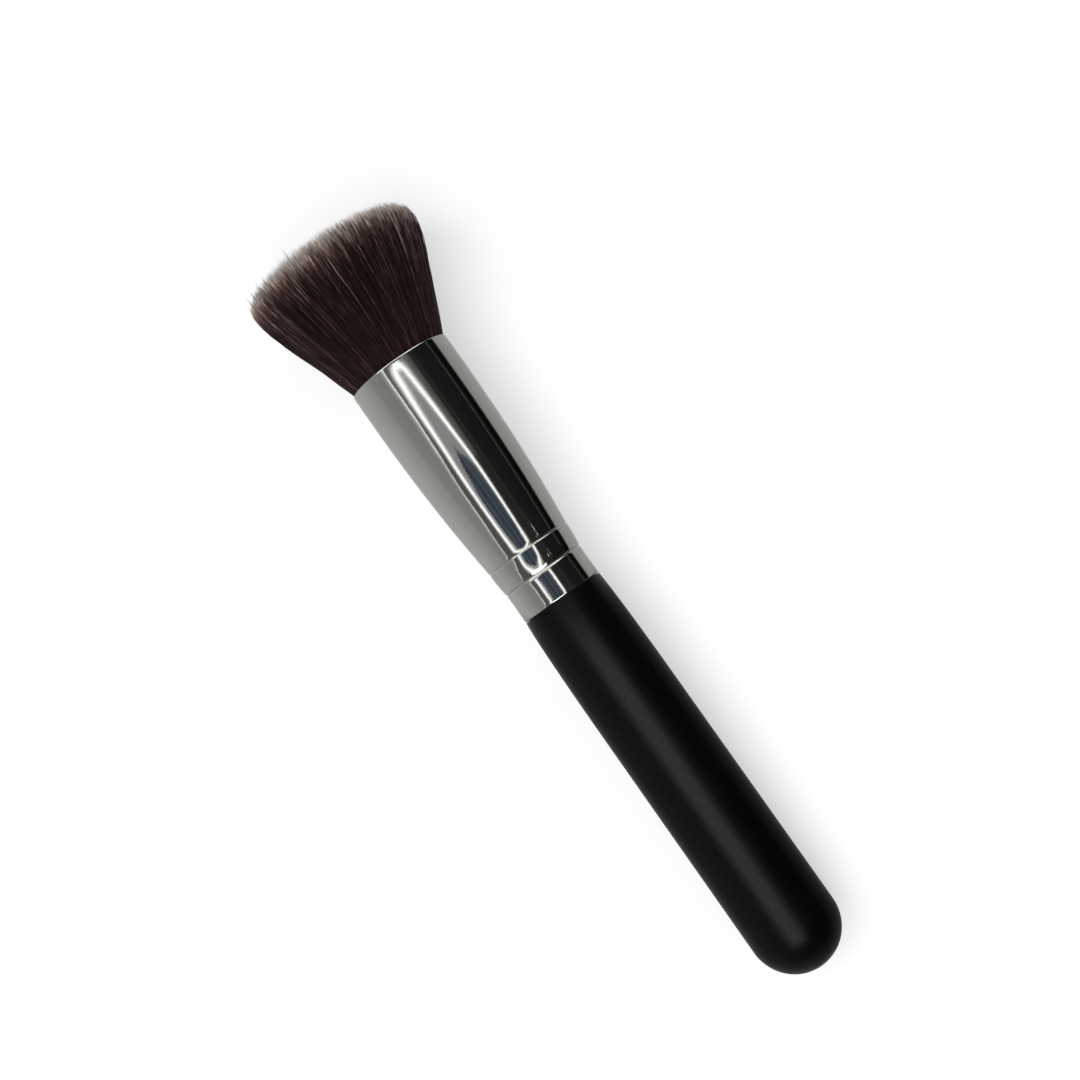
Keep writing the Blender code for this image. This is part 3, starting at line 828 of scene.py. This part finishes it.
def filament_material():
    """Dark brown, paler to the tip, where the palest end also paints light through the thin tips. Each
    filament has its own random tone. Its lighter and darker stretches, and the bright ends of the tone ramps,
    add painted highlights (sheen).
    """
    material, tree, shader = new_material("brown_filament")
    tone = add_node(tree, "ShaderNodeAttribute", attribute_name="tone").outputs["Fac"]
    to_top = add_node(tree, "ShaderNodeAttribute", attribute_name="to_top").outputs["Fac"]
    start = maths(tree, "MULTIPLY", tone, STRETCHES_APART)
    along = maths(tree, "MULTIPLY_ADD", to_top, STRETCHES_PER_MM, start)
    # Lighter and darker stretches along each filament: random tone, and painted sheen where a filament
    # catches light
    tone_and_sheen_stretch = add_node(tree, "ShaderNodeTexNoise", [("W", along)], noise_dimensions="1D")
    tone_and_sheen_stretch.inputs["Scale"].default_value = 1.0
    tone_and_sheen_stretch.inputs["Detail"].default_value = 2.0
    level = maths(tree, "MULTIPLY_ADD", tone_and_sheen_stretch.outputs["Fac"], 0.9, maths(tree, "ADD", tone, -0.45))
    drift = noise(tree, coordinates(tree), scale=900, detail=2, roughness=0.5)
    depth = maths(tree, "ADD", drift, to_top)
    # Tone ramps: random tone, with painted highlights (pinkish-grey sheen) at their bright ends. The lively
    # one, used near the top, has more of them
    quiet_tone_and_sheen = ramp(
        tree, level,
        (0.00, grey(0.42)),
        (0.50, grey(0.82)),
        (0.80, (1.58, 1.82, 1.95)),
        (1.00, (3.10, 4.20, 4.70)),
    )
    lively_tone_and_sheen = ramp(
        tree, level,
        (0.00, grey(0.30)),
        (0.40, grey(0.58)),
        (0.62, grey(1.10)),
        (0.78, (2.10, 2.45, 2.65)),
        (0.92, (5.00, 6.80, 7.70)),
        (1.00, (6.20, 9.00, 10.40)),
    )
    tone_and_painted_sheen = mixed(tree, "MIX", ranged(tree, depth, start=8.0, end=19.0, low=1.0, high=0.0), quiet_tone_and_sheen, lively_tone_and_sheen)
    # Colour by depth below the top: dark brown, paler to the tip as the filaments are. The palest end also
    # paints the light that passes through the thin tips
    body = ramp(
        tree, ranged(tree, depth, start=0.5, end=12.5, low=0.0, high=1.0),
        (0.000, (0.910, 0.845, 0.750)),
        (0.210, (0.800, 0.700, 0.630)),
        (0.275, (0.550, 0.430, 0.370)),
        (0.335, (0.410, 0.292, 0.240)),
        (0.392, (0.275, 0.170, 0.138)),
        (0.470, (0.162, 0.089, 0.077)),
        (0.550, (0.095, 0.048, 0.043)),
        (0.625, (0.065, 0.032, 0.0285)),
        (0.725, (0.042, 0.0195, 0.0168)),
        (0.875, (0.029, 0.0138, 0.0112)),
        (1.000, (0.0240, 0.0110, 0.0088)),
    )
    share = ranged(tree, depth, start=3.3, end=8.0, low=0.05, high=1.0)
    tree.links.new(mixed(tree, "MULTIPLY", share, body, tone_and_painted_sheen), shader.inputs["Base Color"])
    shader.inputs["Roughness"].default_value = 0.45
    shader.inputs["Specular IOR Level"].default_value = 0.09
    return material


def thread_material():
    material, tree, shader = new_material("binding_thread")
    twist = noise(tree, coordinates(tree), scale=3000, detail=2, roughness=0.5)
    ramped(tree, shader, "Base Color", twist, (0.3, (0.50, 0.45, 0.36)), (0.7, (0.66, 0.61, 0.50)))
    shader.inputs["Roughness"].default_value = 0.9
    bumped(tree, shader, twist, strength=0.4, distance=0.00005)
    return material


def resin_material():
    material, tree, shader = new_material("set_resin")
    cloud = noise(tree, coordinates(tree), scale=500, detail=3, roughness=0.5)
    ramped(tree, shader, "Base Color", cloud, (0.3, (0.46, 0.30, 0.12)), (0.7, (0.60, 0.42, 0.19)))
    shader.inputs["Roughness"].default_value = 0.28
    bumped(tree, shader, cloud, strength=0.2, distance=0.00005)
    return material


# Stage
def seen(tree):
    """1 for what the camera sees, by itself, in gloss or through a clear thing; 0 for light on things."""
    path = add_node(tree, "ShaderNodeLightPath")
    first = maths(tree, "ADD", path.outputs["Is Camera Ray"], path.outputs["Is Glossy Ray"])
    return maths(tree, "ADD", first, path.outputs["Is Transmission Ray"])


def floor_material():
    """Pale paper. What the camera and mirrors see of it is lifted to white, and it keeps the shadow."""
    material, tree, shader = new_material("pale_floor")
    shader.inputs["Base Color"].default_value = (*grey(0.9), 1)
    shader.inputs["Roughness"].default_value = 1.0
    shader.inputs["Specular IOR Level"].default_value = 0.0
    away = add_node(tree, "ShaderNodeVectorMath", [(0, coordinates(tree))], operation="LENGTH")
    strength = ranged(tree, away.outputs["Value"], *FLOOR_FADE, low=FLOOR_STRENGTH, high=1.0)
    glow = add_node(tree, "ShaderNodeEmission", [("Strength", strength)])
    glow.inputs["Color"].default_value = (*grey(1), 1)
    lift = ranged(tree, away.outputs["Value"], *FLOOR_FADE, low=FLOOR_LIFT, high=1.0)
    share = maths(tree, "MULTIPLY", seen(tree), lift)
    mix = add_node(tree, "ShaderNodeMixShader", [(0, share), (1, shader.outputs[0]), (2, glow.outputs[0])])
    tree.links.new(mix.outputs[0], tree.nodes["Material Output"].inputs["Surface"])
    return material


def glow_material(name, colour, strength=1.0, across=None, fade=0.0, added=False):
    """Light of one colour, or by a ramp across the card's map; it can fade in along the map, or be added
    to what is behind it."""
    material = bpy.data.materials.new(name)
    material.use_nodes = True
    tree = material.node_tree
    tree.nodes.remove(tree.nodes["Principled BSDF"])
    glow = add_node(tree, "ShaderNodeEmission")
    glow.inputs["Color"].default_value = (*colour, 1)
    glow.inputs["Strength"].default_value = strength
    place = add_node(tree, "ShaderNodeUVMap")
    split = add_node(tree, "ShaderNodeSeparateXYZ", [("Vector", place.outputs["UV"])])
    if across:
        ramped(tree, glow, "Color", split.outputs["Y"], *[(p, grey(v)) for p, v in across])
    light = glow.outputs[0]
    if fade or added:
        clear = add_node(tree, "ShaderNodeBsdfTransparent").outputs[0]
    if added:
        light = add_node(tree, "ShaderNodeAddShader", [(0, clear), (1, light)]).outputs[0]
    if fade:
        there = ranged(tree, split.outputs["X"], 0.0, fade, low=0.0, high=1.0)
        light = add_node(tree, "ShaderNodeMixShader", [(0, there), (1, clear), (2, light)]).outputs[0]
    tree.links.new(light, tree.nodes["Material Output"].inputs["Surface"])
    return material


def streak_material(name, low, high, scale):
    """Uneven light between two colours, in streaks along the brush."""
    material = glow_material(name, grey(1))
    tree = material.node_tree
    streaks = noise(tree, coordinates(tree, scale), scale=1.0, detail=3, roughness=0.6)
    ramped(tree, tree.nodes["Emission"], "Color", streaks, (0.35, low), (0.68, high))
    return material


def white_glow(name, stops, strength=1.0, **more):
    return glow_material(name + "_glow", grey(1), strength, stops, **more)


# Studio
ALONG = BRUSH.col[2].to_3d()
UPWARD = -BRUSH.col[0].to_3d()
ACROSS = Vector((0, 1, 0))
FOOT = BRUSH.translation - CAMERA_BEHIND_MOUTH * ALONG


def studio(a, b, height):
    """A point of the studio: along and across the brush from below the camera, and above the axis."""
    return FOOT + a * ALONG + b * ACROSS + height * UPWARD


def card(name, rows, material):
    """A sheet that only mirrors and gloss see, from rows of points; the map runs from row to row."""
    count = len(rows[0])
    points = [p for row in rows for p in row]
    faces, uvs = [], []
    for r in range(len(rows) - 1):
        for c in range(count - 1):
            faces.append((r * count + c, r * count + c + 1, (r + 1) * count + c + 1, (r + 1) * count + c))
            low, high = r / (len(rows) - 1), (r + 1) / (len(rows) - 1)
            left, right = c / (count - 1), (c + 1) / (count - 1)
            uvs += [(left, low), (right, low), (right, high), (left, high)]
    obj = add_mesh(name, points, faces, smooth=False)
    layer = obj.data.uv_layers.new(name="card")
    layer.data.foreach_set("uv", np.array(uvs, np.float32).reshape(-1))
    obj.data.materials.append(material)
    for kind in ("camera", "diffuse", "shadow", "transmission", "volume_scatter"):
        setattr(obj, "visible_" + kind, False)


def sheet(name, material):
    along_from, along_to, across_from, across_to, height = SHEETS[name]
    rows = [[studio(a, b, height) for a in (along_from, along_to)] for b in (across_from, across_to)]
    card(name, rows, material)


def rounded_loop(points):
    """The closed loop in metres, with its corners cut twice."""
    points = np.array(points, float)
    for _ in range(2):
        ahead = np.roll(points, -1, axis=0)
        points = np.stack([0.75 * points + 0.25 * ahead, 0.25 * points + 0.75 * ahead], axis=1)
        points = points.reshape(-1, points.shape[-1])
    return (np.vstack([points, points[:1]]) / 1000).tolist()


def build_floor():
    square = np.array([(-1, -1), (1, -1), (1, 1), (-1, 1)]) * FLOOR_REACH
    floor = add_mesh("floor", [(x, y, -FLOOR_DROP) for x, y in square], [(0, 1, 2, 3)], smooth=False)
    floor.data.materials.append(floor_material())


def build_ring_lamp():
    """The ring lamp, whose glow is added to what is behind it, with the grey and the dark figure inside."""
    ring = rounded_loop(RING)
    inner = [studio(a, b, RING_HEIGHT) for _, _, a, b in ring]
    outer = [studio(a, b, RING_HEIGHT) for a, b, _, _ in ring]
    middle = [(inside + outside) / 2 for inside, outside in zip(inner, outer)]
    rows = [[m + RING_SPREAD * (p - m) for p, m in zip(edge, middle)] for edge in (inner, outer)]
    stops = RING_HALF_GLOW + [(0.5, 1.0)] + [(1 - place, value) for place, value in reversed(RING_HALF_GLOW)]
    card("ring_lamp", rows, white_glow("ring", stops, RING_STRENGTH, added=True))

    hub = [studio(*INSIDE_HUB, RING_HEIGHT + INSIDE_RISE)] * len(middle)
    edge = [p + INSIDE_RISE * UPWARD for p in middle]
    card("ring_inside", [hub, edge], glow_material("ring_inside_glow", INSIDE_COLOUR))
    hub = [studio(*FIGURE_HUB, FIGURE_HEIGHT)] * (len(FIGURE) + 1)
    edge = [studio(a, b, FIGURE_HEIGHT) for a, b in FIGURE + FIGURE[:1]]
    card("figure", [hub, edge], streak_material("figure_glow", *FIGURE_COLOURS, FIGURE_STREAKS))


def build_low_lamp():
    """The low lamp behind the ferrule, seen softly in the lacquer."""
    rows = [[studio(a, b, LOW_LAMP_HEIGHT) for a, b in zip(LOW_LAMP_ENDS, edge)] for edge in LOW_LAMP_EDGES]
    card("low_lamp", rows, white_glow("low_lamp", LOW_LAMP_STOPS, LOW_LAMP_STRENGTH))


def build_ceiling():
    """The ceiling: black to the right, grey to the left with a bright slanted strip."""
    dark, dim = CEILING_GREYS
    sheet("ceiling", streak_material("ceiling_glow", grey(dark), grey(dim), CEILING_STREAKS))
    sheet("ceiling_left", white_glow("left", CEILING_LEFT_STOPS))
    low, high = [[studio(a, b + edge, STRIP_HEIGHT) for a, b in STRIP] for edge in STRIP_EDGES]
    head, tail = slice(0, STRIP_BEND + 1), slice(STRIP_BEND, None)
    card("strip_head", [low[head], high[head]], white_glow("strip_head", STRIP_HEAD_STOPS))
    card("strip_tail", [low[tail], high[tail]], white_glow("strip_tail", STRIP_TAIL_STOPS))
    gap = [
        [studio(a, GAP_START, GAP_HEIGHT) for a, _ in STRIP[tail]],
        [studio(a, b - GAP_INSET, GAP_HEIGHT) for a, b in STRIP[tail]],
    ]
    card("gap_tail", gap, glow_material("gap_glow", grey(GAP_GREY)))
    sheet("grey_right", white_glow("right", GREY_RIGHT_STOPS))
    sheet("grey_right_low", white_glow("low", GREY_RIGHT_LOW_STOPS))
    sheet("front_light", glow_material("front_glow", grey(FRONT_STRENGTH)))
    speck = glow_material("speck_glow", grey(1), SPECK_STRENGTH)
    for name in ("speck_front", "speck_rear", "speck_side"):
        sheet(name, speck)


def build_sides():
    """What the sides of the ferrule see: paper near by, darker further off, and dark past it on the right."""
    for name, (near, far, stops) in SIDES.items():
        rows = [[studio(a, b, -SIDE_DROP) for a in (tail, SIDE_HEAD)] for tail, b in (near, far)]
        card(name, rows, white_glow(name, stops, fade=SIDE_FADE_SHARE))


def build_walls():
    for name, (start, end, bottom, top, stops) in WALLS.items():
        rows = [[Vector((*start, z)), Vector((*end, z))] for z in (bottom, top)]
        card(name, rows, white_glow(name, stops))


def build_papers():
    """The paper round the handle, which looks darker in the lacquer."""
    first, second, third = PAPER_STOP_SHARES
    for name, (tail, head, inner, outer, strength, last) in PAPERS.items():
        rows = [[Vector((x, y, PAPER_HEIGHT)) for y in (inner, outer)] for x in (tail, head)]
        stops = [(0.0, 1.0), (first, strength), (second, strength), (third, last), (1.0, last)]
        card(name, rows, white_glow(name, stops))


def build_lights():
    """One soft lamp from above, and a sky that is white to look at and dimmer as a light."""
    data = bpy.data.lights.new("key", "AREA")
    data.shape = "ELLIPSE"
    data.size, data.size_y = KEY_SIZES
    data.energy = KEY_POWER
    lamp = add_object("key", data)
    lamp.location = KEY_PLACE
    lamp.rotation_mode = "QUATERNION"
    lamp.rotation_quaternion = (-Vector(KEY_PLACE)).to_track_quat("-Z", "Y")
    lamp.visible_glossy = False
    world = bpy.data.worlds.new("world")
    bpy.context.scene.world = world
    world.use_nodes = True
    tree = world.node_tree
    background = tree.nodes["Background"]
    background.inputs["Color"].default_value = (*grey(1), 1)
    strength = ranged(tree, seen(tree), 0.0, 1.0, low=SKY_STRENGTH, high=1.0)
    tree.links.new(strength, background.inputs["Strength"])


def build_camera():
    back = UPWARD * math.cos(CAMERA_TILT) - ALONG * math.sin(CAMERA_TILT)
    flat = ALONG * math.cos(CAMERA_TILT) + UPWARD * math.sin(CAMERA_TILT)
    cos_roll, sin_roll = CAMERA_ROLL
    right = cos_roll * flat + sin_roll * ACROSS
    up = -sin_roll * flat + cos_roll * ACROSS
    data = bpy.data.cameras.new("camera")
    data.lens = CAMERA_LENS
    data.sensor_width = CAMERA_SENSOR
    data.clip_start = CAMERA_CLIP
    camera = add_object("camera", data)
    camera.matrix_world = placed((right, up, back), studio(0, -CAMERA_ASIDE, CAMERA_DISTANCE))
    bpy.context.scene.camera = camera


def dress(obj, material, slot, *nodes):
    obj.data.materials.append(material)
    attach(obj, "root")
    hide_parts(*nodes)


def build_brush():
    dress(handle(), lacquer_material(), "handle_lacquer", "handle")
    dress(ferrule(), plating_material(), "ferrule_plating", "ferrule")
    points, to_top, tone = filaments()
    fibre = filament_material()
    for first in range(FILAMENT_SETS):
        mine = slice(first, None, FILAMENT_SETS)
        obj = filament_mesh("filaments_%d" % (first + 1), points[mine], to_top[mine], tone[mine])
        dress(obj, fibre, "bristle_filament", "bristle_bundle")
    for node, material in (
        ("root_binding", thread_material()),
        ("root_glue", resin_material()),
        ("tenon_glue", resin_material()),
    ):
        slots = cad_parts[node].data.materials
        slots.clear()
        slots.append(material)


build_brush()
build_floor()
build_ring_lamp()
build_low_lamp()
build_ceiling()
build_sides()
build_walls()
build_papers()
build_lights()
build_camera()
bpy.context.scene.view_settings.view_transform = "Standard"
